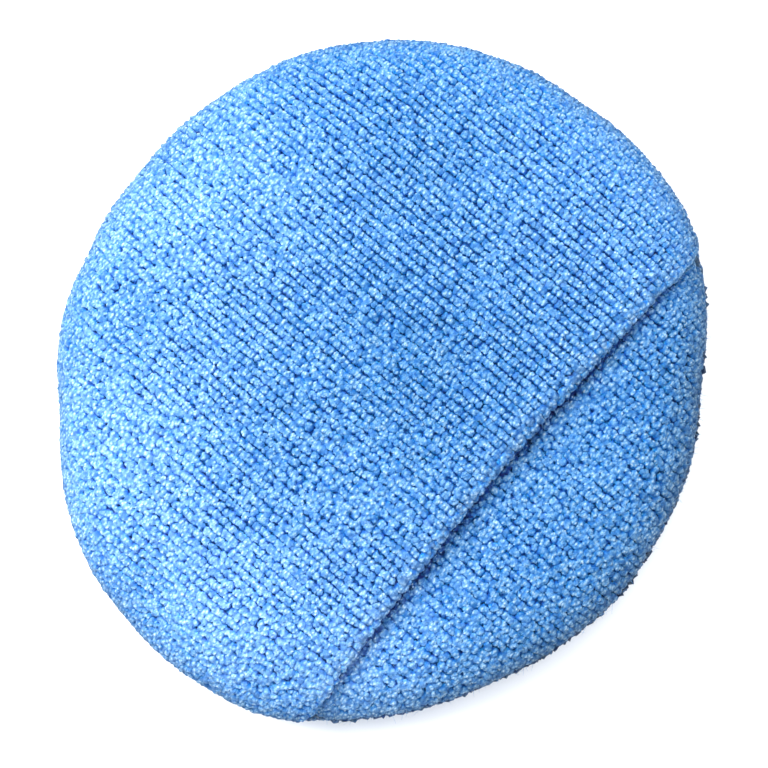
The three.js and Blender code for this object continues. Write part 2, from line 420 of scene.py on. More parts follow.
def cord_along(path, radius, closed=False, sides=5):
    """A tube round a line of points: a circle of `sides` points carried along it, square to the line."""
    step = np.roll(path, -1, 0) - np.roll(path, 1, 0)
    if not closed:
        step[0], step[-1] = path[1] - path[0], path[-1] - path[-2]
    step = unit(step)
    up = np.where(np.abs(step[:, 2:]) > 0.9, [[1.0, 0, 0]], [[0, 0, 1.0]])
    side = unit(np.cross(step, up))
    up = np.cross(side, step)
    turn = np.linspace(0, 2 * np.pi, sides, endpoint=False)[None, :, None]
    points = path[:, None] + radius * (side[:, None] * np.cos(turn) + up[:, None] * np.sin(turn))
    count = len(path)
    if closed:
        points = np.concatenate([points, points[:1]])
        faces = [grid_faces(count + 1, sides, True) % (count * sides)]
        return points[:-1].reshape(-1, 3), faces
    ends = [np.arange(sides)[None], (count - 1) * sides + np.arange(sides)[None, ::-1]]
    return points.reshape(-1, 3), [grid_faces(count, sides, True)] + ends


# ---------------------------------------------------------------- simulation
SIM_SCALE = 4.0  # the shell is simulated this much larger, as large as a cushion
SIM_FRAMES = 20
SIM_MESH = 3.2  # between two points of the simulated shell
SIM_MOST = 1.2  # no point moves farther
SEAM_BAND = (5, 2.5)  # what is sewn: so far in from the rim, and so far above and below the seam


def stuff(top, low):
    """Cloth simulation of two covers sewn together at the rim: cloth that is cut a little large is blown up
    from inside, without weight, and its seam stays where it is. Gives the shell's points before and after."""
    angle = np.linspace(0, 2 * np.pi, 120, endpoint=False)
    share = np.linspace(0, 1, 40)[:, None]
    sides = []
    for panel in (top, low):
        reach = panel.edge(angle) * share
        sides.append(panel.tips(reach * np.cos(angle), reach * np.sin(angle)) * SIM_SCALE)
    shell = face_outwards(new_piece("sewn_shell", *bowl(*sides), None))
    even = shell.modifiers.new("even", "REMESH")
    even.mode, even.voxel_size = "VOXEL", SIM_MESH * MM * SIM_SCALE
    bpy.context.view_layer.update()
    graph = bpy.context.evaluated_depsgraph_get()
    mesh = bpy.data.meshes.new_from_object(shell.evaluated_get(graph))
    before = coordinates(mesh) / SIM_SCALE
    shell.modifiers.clear()
    shell.data = mesh
    angle = np.arctan2(before[:, 1], before[:, 0])
    at_rim = np.linalg.norm(before[:, :2], axis=1) > rim(angle) - SEAM_BAND[0]
    sewn = np.nonzero(at_rim & (np.abs(before[:, 2] - SEAM_Z) < SEAM_BAND[1]))[0]
    shell.vertex_groups.new(name="seam").add(sewn.tolist(), 1.0, "REPLACE")
    cloth = shell.modifiers.new("cloth", "CLOTH")
    cloth.settings.quality = 6
    cloth.settings.shrink_min = -0.03
    cloth.settings.use_pressure = True
    cloth.settings.uniform_pressure_force = 1.2
    cloth.settings.effector_weights.gravity = 0
    cloth.settings.vertex_group_mass = "seam"
    cloth.point_cache.frame_start, cloth.point_cache.frame_end = 1, SIM_FRAMES
    for number in range(1, SIM_FRAMES + 1):
        bpy.context.scene.frame_set(number)
    graph = bpy.context.evaluated_depsgraph_get()
    after = coordinates(shell.evaluated_get(graph).data) / SIM_SCALE
    bpy.context.scene.frame_set(1)
    bpy.data.objects.remove(shell)
    move = after - before
    far = np.linalg.norm(move, axis=1, keepdims=True)
    return before, before + move * np.minimum(1, SIM_MOST / np.maximum(far, 1e-6))


# ---------------------------------------------------------------- pile
LOOP_SIDES = 5
LOOP_RINGS = np.array([[1.00, 0.0], [1.08, 0.50], [0.68, 0.88]])  # width, height
LOOP_DENTS = ((0.80, 1.20), (0.88, 1.12))  # how far a loop's corners are off round: all rings, and each
TOP_OFF = 0.12  # how far the loop's top is off its middle
FIBRE_SHARE = 0.16  # of the loops have a split fibre standing out
FIBRE_LENGTH = (0.9, 1.9)
FIBRE_RADIUS = 0.05  # a bundle of split fibres, since one alone doesn't show
FIBRE_SHADE = 1.15
LEG_WIDTH = {2: 0.385, 1: 0.50}  # half the width of a lobe, as a share of a wale, by legs a loop
LEG_APART = 0.13  # from the loop's middle to a leg's, as a share of a wale
LEG_LENGTH = (1.45, 2.0)  # of a lobe along the rib, as a share of a course
# How unlike each other the loops are: everywhere, and how much more where the ribs are rubbed out of line.
OFF_ACROSS, OFF_AWAY, OFF_SPIN, OFF_LEAN = (0.05, 0.12), (0.12, 0.10), (0.06, 0.75), (0.07, 0.22)
RUBBED = {"cover": 0.95, "pocket": 0.26, "hem": 0.9}  # how far the ribs are rubbed out of line
PILE_STRIPS = 4  # pieces that the pile of a round cover is divided into


def loops(root, out, over, rib, wide, long, tall, lean, rng):
    """Closed lobes of yarn standing on a cloth: rings of five points, widest half way up, ending in a point.

    A point lies at root + ring width x (wide cos t over + long sin t rib) + height x tall x out, and the
    loop leans by the square of its height.
    """
    count = len(root)
    turn = 2 * np.pi * np.arange(LOOP_SIDES) / LOOP_SIDES + rng.uniform(0, 2 * np.pi, (count, 1))
    ring, height = LOOP_RINGS.T
    bulge = rng.uniform(*LOOP_DENTS[0], (count, 1, LOOP_SIDES))
    bulge = bulge * rng.uniform(*LOOP_DENTS[1], (count, len(ring), LOOP_SIDES))
    swing = ring[None, :, None] * bulge
    x = swing * (wide[:, None] * np.cos(turn))[:, None]
    y = swing * (long[:, None] * np.sin(turn))[:, None]
    z = height[None, :, None] + rng.uniform(-0.07, 0.07, x.shape)
    body = np.concatenate([x.reshape(count, -1), rng.uniform(-TOP_OFF, TOP_OFF, (count, 1))], 1)
    other = np.concatenate([y.reshape(count, -1), rng.uniform(-TOP_OFF, TOP_OFF, (count, 1))], 1)
    rise = np.concatenate([z.reshape(count, -1), np.ones((count, 1))], 1)
    bent = np.clip(rise, 0, None) ** 2
    points = (
        root[:, None]
        + body[..., None] * over[:, None]
        + other[..., None] * rib[:, None]
        + (rise * tall[:, None])[..., None] * out[:, None]
        + bent[..., None] * lean[:, None]
    )
    each = points.shape[1]
    start = np.arange(count)[:, None, None] * each
    rings = len(ring)
    quads = grid_faces(rings, LOOP_SIDES, True)[:, ::-1][None] + start
    last = (rings - 1) * LOOP_SIDES + np.arange(LOOP_SIDES)
    crown = np.stack([last, np.roll(last, -1), np.full(LOOP_SIDES, each - 1)], -1)[None] + start
    foot = np.arange(LOOP_SIDES)[::-1][None, None] + start
    faces = [quads.reshape(-1, 4), crown.reshape(-1, 3), foot.reshape(-1, LOOP_SIDES)]
    return points.reshape(-1, 3), faces, np.clip(rise, 0, 1).ravel(), each


def strands(root, out, over, rib, rng):
    """Split fibres that stand out of the pile: a triangle carried along a parabola, thinner towards its end."""
    count, rings = len(root), 4
    share = np.linspace(0, 1, rings)[None, :, None]
    tilt, bend = rng.normal(0, 0.6, (2, count, 2, 1))
    go = unit(out + over * tilt[:, 0] + rib * tilt[:, 1])
    curl = over * bend[:, 0] + rib * bend[:, 1]
    way = go[:, None] * share + curl[:, None] * share**2
    path = root[:, None] + rng.uniform(*FIBRE_LENGTH, (count, 1, 1)) * way
    side = unit(np.cross(go, over))
    other = np.cross(go, side)
    turn = 2 * np.pi * np.arange(3) / 3
    round_it = side[:, None] * np.cos(turn)[:, None] + other[:, None] * np.sin(turn)[:, None]
    points = path[:, :, None] + (FIBRE_RADIUS * (1 - 0.7 * share))[..., None] * round_it[:, None]
    each = rings * 3
    start = np.arange(count)[:, None, None] * each
    ends = np.array([[2, 1, 0], [each - 3, each - 2, each - 1]])[None] + start
    quads = grid_faces(rings, 3, True)[:, ::-1][None] + start
    return points.reshape(-1, 3), [quads.reshape(-1, 4), ends.reshape(-1, 3)]


def knit_places(limit_across, low, high, sizes):
    """Places of the loops on a flat cut: ribs one wale apart, and every second rib set half a course on."""
    ribs = np.arange(-int(limit_across / sizes.wale), int(limit_across / sizes.wale) + 1)
    rows = np.arange(int(low / sizes.course) - 1, int(high / sizes.course) + 2)
    rib, row = np.meshgrid(ribs, rows, indexing="ij")
    across = (rib * sizes.wale).astype(float)
    away = (row + 0.5 * (rib % 2)) * sizes.course
    return across.ravel(), away.ravel()


def ruffled(across, away, base, seed):
    """How far the ribs are rubbed out of line at a place, from 0 to 1: more towards one side, and in patches
    of a sum of sine waves."""
    slope = (0.6 * away - across) / 150
    return np.clip(base + slope + swell(across, away, seed, 0.35, 55.0), 0.05, 1)


def more(pair, rough):
    """The first of a pair, and the second on top of it where the ribs are rubbed out of line."""
    return pair[0] + pair[1] * rough


def painted_light(points):
    """How light the pile is painted: a slope of painted light across the pad, a bell curve of painted light and
    shade for each patch, painted shade on the side, where the loops show their darker flanks, and painted shade
    in the crease of the seam."""
    light = 1 + (0.08 * points[:, 1] - 0.05 * points[:, 0]) / 60
    # Painted shade on the side, darker than the face.
    light -= 0.42 * np.exp(-(((points[:, 2] - SEAM_Z) / 6.5) ** 2))
    # Painted shade in the crease of the seam.
    light -= 0.30 * np.exp(-(((points[:, 2] - SEAM_Z) / 0.9) ** 2))
    for x, y, radius, lighter in PAINTED_LIGHT_PATCHES:
        light += lighter * np.exp(-((points[:, 0] - x) ** 2 + (points[:, 1] - y) ** 2) / radius**2)
    return light


def pile_on(place, across, away, sizes, seed, rubbed, tone=0.0, plump=1.0, legs=2):
    """Loops at places of a cut. `place` gives points on the outer side with their directions. `tone` runs from
    -1, painted shadow, to 1, pale grey-blue: painted sheen at the side seam, and greyer loops round the fold. A
    loop has two legs that lie side by side across the rib: a lobe for each, or one for both where nobody looks."""
    rng = np.random.default_rng(seed)
    count = len(across)
    rough = ruffled(across, away, rubbed, SEED)
    across = across + rng.normal(0, 1, count) * more(OFF_ACROSS, rough)
    away = away + rng.normal(0, 1, count) * more(OFF_AWAY, rough) + swell(5 * across, away, SEED + 9, 0.10, 9.0)
    tip, out, over, rib = place(across, away)
    size = plump * rng.normal(1, 0.075, count).clip(0.8, 1.25)
    # The shade is painted light and shade, times a tone that differs at random from loop to loop.
    shade = painted_light(tip) * rng.normal(1, 0.045, count).clip(0.85, 1.15)
    leg = np.tile([-1.0, 1.0] if legs == 2 else [0.0], count)
    lobes = legs * count
    each_loop = (tip, out, over, rib, size, shade, rough, np.broadcast_to(tone, count))
    tip, out, over, rib, size, shade, rough, tone = (np.repeat(value, legs, axis=0) for value in each_loop)
    spin = np.repeat(rng.normal(0, 1, count), legs) * more(OFF_SPIN, rough) + rng.normal(0, 0.12, lobes)
    spin = spin[:, None]
    over, rib = over * np.cos(spin) + rib * np.sin(spin), rib * np.cos(spin) - over * np.sin(spin)
    apart = LEG_APART * sizes.wale * size * (1 + 0.15 * rough) * rng.uniform(0.85, 1.15, lobes)
    root = tip - out * sizes.pile + over * (leg * apart)[:, None]
    wide = LEG_WIDTH[legs] * sizes.wale * size * (1 + 0.25 * rough) * rng.uniform(0.88, 1.15, lobes)
    long = 0.50 * sizes.course * size * rng.uniform(*LEG_LENGTH, lobes) * (1 + 0.2 * rough)
    tall = sizes.pile * rng.normal(1.0, 0.06, lobes).clip(0.82, 1.15)
    side = rng.normal(0, 1, (lobes, 2)) * more(OFF_LEAN, rough[:, None])
    lean = over * side[:, :1] + rib * side[:, 1:]
    points, faces, rise, each = loops(root, out, over, rib, wide, long, tall, lean, rng)
    shade = shade * rng.normal(1, 0.06, lobes).clip(0.82, 1.2)
    hairy = rng.uniform(0, 1, lobes) < FIBRE_SHARE / legs
    hairs, hair_faces = strands((tip - out * 0.5)[hairy], out[hairy], over[hairy], rib[hairy], rng)
    faces += [f + len(points) for f in hair_faces]
    values = {
        "rise": np.append(rise, np.ones(len(hairs))),
        "shade": np.append(np.repeat(shade, each), np.full(len(hairs), FIBRE_SHADE)),
        "tone": np.append(np.repeat(tone, each), np.zeros(len(hairs))),
    }
    return np.concatenate([points, hairs]), faces, values


# ---------------------------------------------------------------- materials
RGBA = {"data_type": "RGBA"}
MULTIPLY = {"operation": "MULTIPLY"}


def add(tree, kind, settings=(), **links):
    """Adds a node, sets what `settings` says, and links its inputs to the sockets or values given by name. An
    input called I7 is the node's input number 7."""
    node = tree.nodes.new(kind)
    for key, value in dict(settings).items():
        setattr(node, key, value)
    for key, value in links.items():
        socket = node.inputs[int(key[1:]) if key[1:].isdigit() else key.replace("_", " ")]
        if isinstance(value, bpy.types.NodeSocket):
            tree.links.new(value, socket)
        else:
            socket.default_value = value
    return node


def pile_material(tree, place, sizes, colours):
    """Microfibre terry pile of dyed split polyester, with painted shade dark between the loops and painted
    light, soft and pale, over their tops.
    """
    rise, shade, tone = (
        add(tree, "ShaderNodeAttribute", {"attribute_name": name}).outputs["Fac"]
        for name in ("rise", "shade", "tone")
    )
    # Painted shade deep between the loops and painted light on their tops: the colour runs from the dark root
    # to the pale tip with the height up a loop.
    ramp = add(tree, "ShaderNodeValToRGB", I0=rise)
    steps = ramp.color_ramp.elements
    steps[0].position, steps[0].color = 0.12, colours.root
    steps[1].position, steps[1].color = 0.98, colours.tip
    steps.new(0.62).color = colours.body
    # Towards a pale grey-blue where the tone is above nought: painted sheen at the side seam, and greyer loops
    # round the fold.
    worn = add(tree, "ShaderNodeMix", RGBA, I0=tone, I6=ramp.outputs["Color"], I7=colours.worn).outputs[2]
    # Towards the painted shadow colour where the tone is below nought.
    below = add(tree, "ShaderNodeMath", {**MULTIPLY, "use_clamp": True}, I0=tone, I1=-1.0).outputs["Value"]
    dark = add(tree, "ShaderNodeMix", RGBA, I0=below, I6=worn, I7=colours.pressed).outputs[2]
    # A loop is a bundle of yarns about 0.6 mm thick and 1 mm long, lying across the ribs.
    lying = add(tree, "ShaderNodeMapping", Vector=place, Scale=(1000.0, 1600.0, 1300.0)).outputs["Vector"]
    yarns = add(tree, "ShaderNodeTexVoronoi", Vector=lying, Scale=1.0).outputs["Distance"]
    # Split fibres stand up in tufts of 0.3 mm, the finest that still shows.
    fibres = add(tree, "ShaderNodeTexNoise", Vector=lying, Scale=2.6, Detail=3.0, Roughness=0.75).outputs["Fac"]
    relief = add(tree, "ShaderNodeMath", {"operation": "MULTIPLY_ADD"}, I0=yarns, I1=-0.8, I2=fibres)
    relief = relief.outputs["Value"]
    # Painted highlight: where the relief stands high, the more the higher up the loop, the colour turns pale.
    standing = add(tree, "ShaderNodeMapRange", Value=relief, From_Min=0.37, From_Max=0.56, To_Max=rise)
    lit = add(tree, "ShaderNodeMix", RGBA, I0=standing.outputs["Result"], I6=dark, I7=colours.split).outputs[2]
    # Painted shade between the yarns, where the colour is deep, and painted light on them, where it is pale: a
    # power of the colour, from 1.7 to 0.58.
    power = {"From_Min": -0.15, "From_Max": 0.38, "To_Min": 1.7, "To_Max": 0.58}
    relief_shading = add(tree, "ShaderNodeMapRange", Value=relief, **power).outputs["Result"]
    deep = add(tree, "ShaderNodeGamma", Color=lit, Gamma=relief_shading).outputs["Color"]
    # Where the painted light is brighter the pile is painted paler as well, and where it is darker more deeply
    # coloured.
    full = {"From_Min": 0.8, "From_Max": 1.4, "To_Min": 1.04, "To_Max": 0.88}
    full = add(tree, "ShaderNodeMapRange", Value=shade, **full).outputs["Result"]
    varied = add(tree, "ShaderNodeHueSaturation", Color=deep, Value=shade, Saturation=full)
    bump = add(tree, "ShaderNodeBump", Height=relief, Strength=0.9, Distance=0.0006)
    return add(
        tree,
        "ShaderNodeBsdfPrincipled",
        Base_Color=varied.outputs["Color"],
        Normal=bump.outputs["Normal"],
        Roughness=0.62,
        Specular_IOR_Level=0.12,
        Sheen_Weight=0.06,
        Sheen_Roughness=0.45,
        Sheen_Tint=(0.75, 0.88, 1.0, 1.0),
    )


def ground_material(tree, place, sizes, colours):
    """Knitted polyester ground: flat stitches in ribs one wale apart, matt and darker than the pile."""
    # One wave of the wave texture is 2 pi / 20 of a unit at scale 1.
    across, along = (
        add(
            tree,
            "ShaderNodeTexWave",
            {"bands_direction": axis, "wave_profile": "SIN"},
            Vector=place,
            Scale=math.pi / 10 / (pitch * MM),
            Distortion=0.6,
        ).outputs["Fac"]
        for axis, pitch in (("X", sizes.wale), ("Y", sizes.course))
    )
    stitches = add(tree, "ShaderNodeMath", MULTIPLY, I0=across, I1=along).outputs["Value"]
    here = add(tree, "ShaderNodeMix", RGBA, I0=stitches, I6=colours.ground, I7=colours.body).outputs[2]
    bump = add(tree, "ShaderNodeBump", Height=stitches, Strength=0.8, Distance=0.0003).outputs["Normal"]
    return add(
        tree, "ShaderNodeBsdfPrincipled", Base_Color=here, Normal=bump, Roughness=0.85, Sheen_Weight=0.2
    )


def thread_material(tree, place, sizes, colours):
    """Spun polyester sewing thread: two plies twisted together, with a soft shine."""
    diagonal = {"bands_direction": "DIAGONAL"}
    twist = add(tree, "ShaderNodeTexWave", diagonal, Vector=place, Scale=900.0, Distortion=1.0).outputs["Fac"]
    light = add(tree, "ShaderNodeMapRange", Value=twist, To_Min=0.75, To_Max=1.15).outputs["Result"]
    varied = add(tree, "ShaderNodeHueSaturation", Color=colours.thread, Value=light).outputs["Color"]
    bump = add(tree, "ShaderNodeBump", Height=twist, Strength=0.6, Distance=0.0001).outputs["Normal"]
    return add(
        tree, "ShaderNodeBsdfPrincipled", Base_Color=varied, Normal=bump, Roughness=0.5, Sheen_Weight=0.15
    )


def foam_material(tree, place, sizes, colours):
    """Open-cell polyurethane foam: cells under a millimetre across, matt and a little yellow."""
    cells = add(tree, "ShaderNodeTexVoronoi", Vector=place, Scale=1400.0).outputs["Distance"]
    light = add(tree, "ShaderNodeMapRange", Value=cells, To_Min=0.7, To_Max=1.05, From_Max=0.6)
    varied = add(tree, "ShaderNodeHueSaturation", Color=colours.foam, Value=light.outputs["Result"])
    bump = add(tree, "ShaderNodeBump", Height=cells, Strength=0.8, Distance=0.0004).outputs["Normal"]
    return add(
        tree, "ShaderNodeBsdfPrincipled", Base_Color=varied.outputs["Color"], Normal=bump, Roughness=0.9
    )


def floor_material(tree, place, sizes, colours):
    """Satin white laminate: a table top, smooth and with hardly any gloss."""
    return add(tree, "ShaderNodeBsdfPrincipled", Base_Color=colours.floor, Roughness=0.55)


MAKERS = {
    "microfibre_terry_pile": pile_material,
    "knitted_polyester_ground": ground_material,
    "spun_polyester_thread": thread_material,
    "open_cell_polyurethane_foam": foam_material,
    "satin_white_laminate": floor_material,
}


def finish(name):
    """The named material, made the first time it is asked for."""
    material = bpy.data.materials.get(name)
    if material is None:
        material = bpy.data.materials.new(name)
        material.use_nodes = True
        tree, scene = material.node_tree, bpy.context.scene
        tree.nodes.clear()
        place = add(tree, "ShaderNodeTexCoord").outputs["Object"]
        shader = MAKERS[name](tree, place, scene.pad_sizes, scene.pad_colours)
        add(tree, "ShaderNodeOutputMaterial", Surface=shader.outputs["BSDF"])
    return material


# ---------------------------------------------------------------- pieces
def sewn(piece, slot, node=None, body="pad"):
    """Hides the node that a piece stands for, and hangs the piece on the body it rides on. `slot`, what the
    piece is made of, is not used.
    """
    if node:
        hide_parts(node)
    if body:
        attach(piece, body)
    return piece


def cover_cloth(name, panel, sizes):
    """The ground of a round cover, as rings from the middle to the seam and a wall at the seam."""
    angle = np.linspace(0, 2 * np.pi, 220, endpoint=False)[None]
    reach = panel.edge(angle) * np.linspace(0, 1, 60)[:, None]
    across, away = reach * np.cos(angle), reach * np.sin(angle)
    depth = np.full(across.shape, sizes.pile - ROOTS)
    outer = panel.under(across, away, depth)
    inner = panel.under(across, away, depth + sizes.ground)
    outer[0], inner[0] = outer[0].mean(0), inner[0].mean(0)
    points, faces = bowl(outer, inner)
    return face_outwards(new_piece(name, points, faces, finish("knitted_polyester_ground")))


def rim_sheen(panel, across, away):
    """Painted sheen where the pile opens out over the rounded side, as a tone: a bell curve of the distance to
    the seam."""
    inside = panel.edge(np.arctan2(away, across)) - np.hypot(across, away)
    return RIM_SHEEN * np.exp(-((inside / RIM_WIDTH) ** 2))


def panel_places(panel, sizes):
    """Places of the loops of a whole panel, which go on a little over its turned-in edge."""
    reach = panel.reach * 1.08
    across, away = knit_places(reach, -reach, reach, sizes)
    inside = np.hypot(across, away) < panel.edge(np.arctan2(away, across)) + TURNED_PILE
    return across[inside], away[inside]


def cover_pile(name, panel, sizes, seed, tone, hidden):
    """The pile of a round cover, in strips that each stay a manageable size. Half of it may be hidden."""
    across, away = panel_places(panel, sizes)
    order = np.argsort(np.argsort(away, kind="stable"))
    strip = np.minimum(order * PILE_STRIPS // len(away), PILE_STRIPS - 1)
    pieces = []
    for k in range(PILE_STRIPS):
        x, y = across[strip == k], away[strip == k]
        legs = 1 if hidden and k >= PILE_STRIPS / 2 else 2
        # Painted sheen at the side seam, and on the face cover painted shadow along the mouth.
        worn = rim_sheen(panel, x, y) + tone(x, y)
        data = pile_on(panel.frame_at, x, y, sizes, seed + 10 * k, RUBBED["cover"], worn, legs=legs)
        points, faces, values = data
        points[:, 2] = np.maximum(points[:, 2], 0.02)  # nothing goes into the table
        piece = new_piece(f"{name}_{k + 1}", points, faces, finish("microfibre_terry_pile"), **values)
        pieces.append(sewn(piece, "terry"))
    return pieces


def mouth_shadow(across, away):
    """Painted shadow on the face cover's pile along the pocket's mouth, most in the middle."""
    front = mouth(across) - away
    middle = np.clip(1.15 - (across / HALF_MOUTH) ** 2, 0, 1)
    return -middle / (1 + np.exp((front - 0.3) / 0.2))


class PAD_OT_stuffing(bpy.types.Operator):
    """Simulates how the sewn covers swell and pucker over the foam"""

    bl_idname = "pad.stuffing"
    bl_label = "Stuffing"

    def execute(self, context):
        working, face, pocket = (PANELS[name] for name in ("working", "face", "pocket"))
        under_pocket, over_pocket = stuff(face, working), stuff(pocket, working)
        working.settle(*under_pocket)
        face.settle(*under_pocket)
        pocket.settle(*over_pocket)
        return {"FINISHED"}


class PAD_OT_foam(bpy.types.Operator):
    """Adds the foam core"""

    bl_idname = "pad.foam"
    bl_label = "Foam core"

    def execute(self, context):
        angle = np.linspace(0, 2 * np.pi, 180, endpoint=False)
        turn = np.linspace(0, np.pi, 46)
        half = (FOAM_TOP - FOAM_LOW) / 2
        flat = MEAN_RADIUS - FOAM_INSET - half
        r = flat * np.clip(turn / FOAM_FLAT, 0, 1) * np.clip((np.pi - turn) / FOAM_FLAT, 0, 1)
        ring = r + half * np.sqrt(np.clip(1 - np.cos(turn) ** 2, 0, 1)) * (r > 0)
        grow = rim(angle) / MEAN_RADIUS
        x = ring[:, None] * grow * np.cos(angle)
        y = ring[:, None] * grow * np.sin(angle)
        z = (FOAM_TOP + FOAM_LOW) / 2 + half * np.sign(np.cos(turn)) * np.abs(np.cos(turn)) ** 0.6
        z = np.broadcast_to(z[:, None], x.shape)
        z = np.clip(z + swell(x, y, SEED, 0.15, 9.0) * np.sin(turn)[:, None], FOAM_LOW, FOAM_TOP)
        grid = np.stack([x, y, z], -1)
        rings, around = grid.shape[:2]
        points = np.concatenate([grid[:1, 0], grid[1:-1].reshape(-1, 3), grid[-1:, 0]])
        first = 1 + np.arange(around)
        last = 1 + (rings - 3) * around + np.arange(around)
        top = np.stack([np.zeros(around, int), first, np.roll(first, -1)], -1)
        low = np.stack([np.full(around, len(points) - 1), np.roll(last, -1), last], -1)
        faces = [grid_faces(rings - 2, around, True, 1), top, low]
        piece = new_piece("foam_core_disc", points, faces, finish("open_cell_polyurethane_foam"))
        face_outwards(piece)
        sewn(piece, "foam", "foam_core")
        return {"FINISHED"}


class PAD_OT_covers(bpy.types.Operator):
    """Adds the working cover and the face cover, each with its pile"""

    bl_idname = "pad.covers"
    bl_label = "Working and face covers"

    def execute(self, context):
        sizes = context.scene.pad_sizes
        for name, node, seed in (("working", "working_cover", 100), ("face", "face_cover", 200)):
            panel, is_face = PANELS[name], name == "face"
            cloth = sewn(cover_cloth(f"{node}_cloth", panel, sizes), "terry", node)
            tone = mouth_shadow if is_face else lambda across, away: 0.0
            pieces = cover_pile(f"{node}_pile", panel, sizes, SEED + seed, tone, hidden=is_face)
        return {"FINISHED"}


class Fold:
    """The pocket's mouth: the cloth turned under. A point is given by how far across, and how far on from the
    mouth's outer side: round a half circle first, and then back under the pocket."""

    def __init__(self, sizes):
        self.panel, self.sizes = PANELS["pocket"], sizes

    def height(self, across):
        """From the top of the pocket to the underside of the hem: less at the ends, where the seam nips it."""
        return self.sizes.fold * (1 - 0.38 * np.clip(np.abs(across) / 60, 0, 1) ** 4)

    def length(self, across):
        """How far on the hem's edge lies: round the half circle, and the width of the hem."""
        return np.pi * self.height(across) / 2 + self.sizes.hem

    def frame_at(self, across, on, depth=0.0):
        """Points of the fold's outer side with their directions, as a panel gives them: on the half circle a
        point is the circle's middle plus its radius along the turned normal."""
        radius = self.height(across) / 2
        back = np.clip(on - np.pi * radius, 0, None)
        top, out, over, rib = self.panel.frame_at(across, mouth(across) + radius + back)
        turn = np.clip(on / radius, 0, np.pi)[..., None]
        normal = out * np.cos(turn) - rib * np.sin(turn)
        points = top - out * radius[..., None] + normal * (radius - depth)[..., None]
        return points, normal, over, np.cross(normal, over)

    def under(self, across, on, depth):
        """Points `depth` inside the outer side."""
        return self.frame_at(across, on, depth)[0]


SIDES = ((-1, "left"), (1, "right"))
FAR_FROM = 12  # the far part of a half's pile begins here
NEAR_MOUTH = 3.2  # over which the pile opens out behind the mouth, and how much greyer it looks there
NEAR_TONE = 0.28
FOLD_TONE = 0.27
FAN = 1.3  # loops stand this much farther apart round the fold, where they fan out


def rim_away(panel, across, sign):
    """How far away from the middle the cut's edge lies at a distance across, found by halving."""
    low, high = np.zeros_like(across), np.full_like(across, panel.reach * 1.1)
    for _ in range(30):
        middle = (low + high) / 2
        inside = np.hypot(across, middle) < panel.edge(np.arctan2(sign * middle, across))
        low, high = np.where(inside, middle, low), np.where(inside, high, middle)
    return sign * low


def mouth_end(side):
    """Where the mouth's outer edge runs into the seam, across from the middle."""
    panel = PANELS["pocket"]
    across = side * np.linspace(0, panel.reach, 2000)
    away = mouth(across)
    return across[np.hypot(across, away) < panel.edge(np.arctan2(away, across))][-1]


def half_panel(fold, side, widest, depth):
    """One half of the pocket's ground, in lines from the rim, or from the fold, to the far rim."""
    across = side * np.linspace(0, 1, 70)[:, None] * widest
    high = rim_away(fold.panel, across, 1)
    low = np.maximum(rim_away(fold.panel, across, -1), mouth(across) + fold.height(across) / 2)
    away = low + (high - low) * np.linspace(0, 1, 110)[None]
    across = np.broadcast_to(across, away.shape)
    deep = np.full(away.shape, depth)
    return slab(fold.panel.under(across, away, deep), fold.panel.under(across, away, deep + fold.sizes.ground))


def half_hem(fold, side, depth):
    """One half of the fold's and the hem's ground. Towards the mouth's end the hem is nipped: its ground is
    thinner there and lies deeper, clear of the pile above."""
    across = side * np.linspace(0, 1, 60)[:, None] * (abs(mouth_end(side)) - HEM_SHORT)
    on = np.linspace(0, 1, 34)[None] * fold.length(across)
    across = np.broadcast_to(across, on.shape)
    high = fold.height(across)
    thick = np.clip(high - 2 * depth, HEM_GROUND[0], min(fold.sizes.ground, HEM_GROUND[1]))
    deep = np.minimum(depth, high - depth - thick)
    return slab(fold.under(across, on, deep), fold.under(across, on, deep + thick))


def panel_pile(fold, side, far):
    """The far or the near part of one half's pile, a little fuller and greyer near the mouth."""
    across, away = panel_places(fold.panel, fold.sizes)
    keep = (away > mouth(across) + fold.height(across) / 2) & ((across >= 0) == (side > 0))
    keep &= (away >= FAR_FROM) == far
    across, away = across[keep], away[keep]
    near = np.exp(-(((away - mouth(across)) / NEAR_MOUTH) ** 2))
    # Painted sheen at the side seam, and greyer near the mouth.
    worn = rim_sheen(fold.panel, across, away) + NEAR_TONE * near
    seed = SEED + 310 + side + (0 if far else 4)
    place, plump = fold.panel.frame_at, 1 + 0.12 * near
    return pile_on(place, across, away, fold.sizes, seed, RUBBED["pocket"], worn, plump)


def hem_pile(fold, side):
    """The pile of one half of the fold and the hem: greyer, paler loops round the fold, and painted shadow on
    the loops under it.
    """
    sizes, end = fold.sizes, abs(mouth_end(side))
    across, on = knit_places(end, 0, 8 + sizes.hem, sizes)
    on = FAN * on
    keep = (on > 0.3) & (on < fold.length(across) - 0.5) & (np.abs(across) < end - 0.8)
    keep &= (across >= 0) == (side > 0)
    across, on = across[keep], on[keep]
    uneven = np.random.default_rng(SEED + 340).normal(0, 0.2, len(on))
    # Painted shadow on the loops that turn under the fold.
    below = np.clip((on / fold.height(across) - 0.85) / 0.25, 0, 1)
    tone = np.clip(FOLD_TONE + uneven - 1.3 * below, -1, 0.45)
    return pile_on(fold.frame_at, across, on, sizes, SEED + 330 + side, RUBBED["hem"], tone, plump=1.02)


def open_with_mouth(piece):
    """Bakes the piece's transform into its mesh."""
    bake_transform(piece)


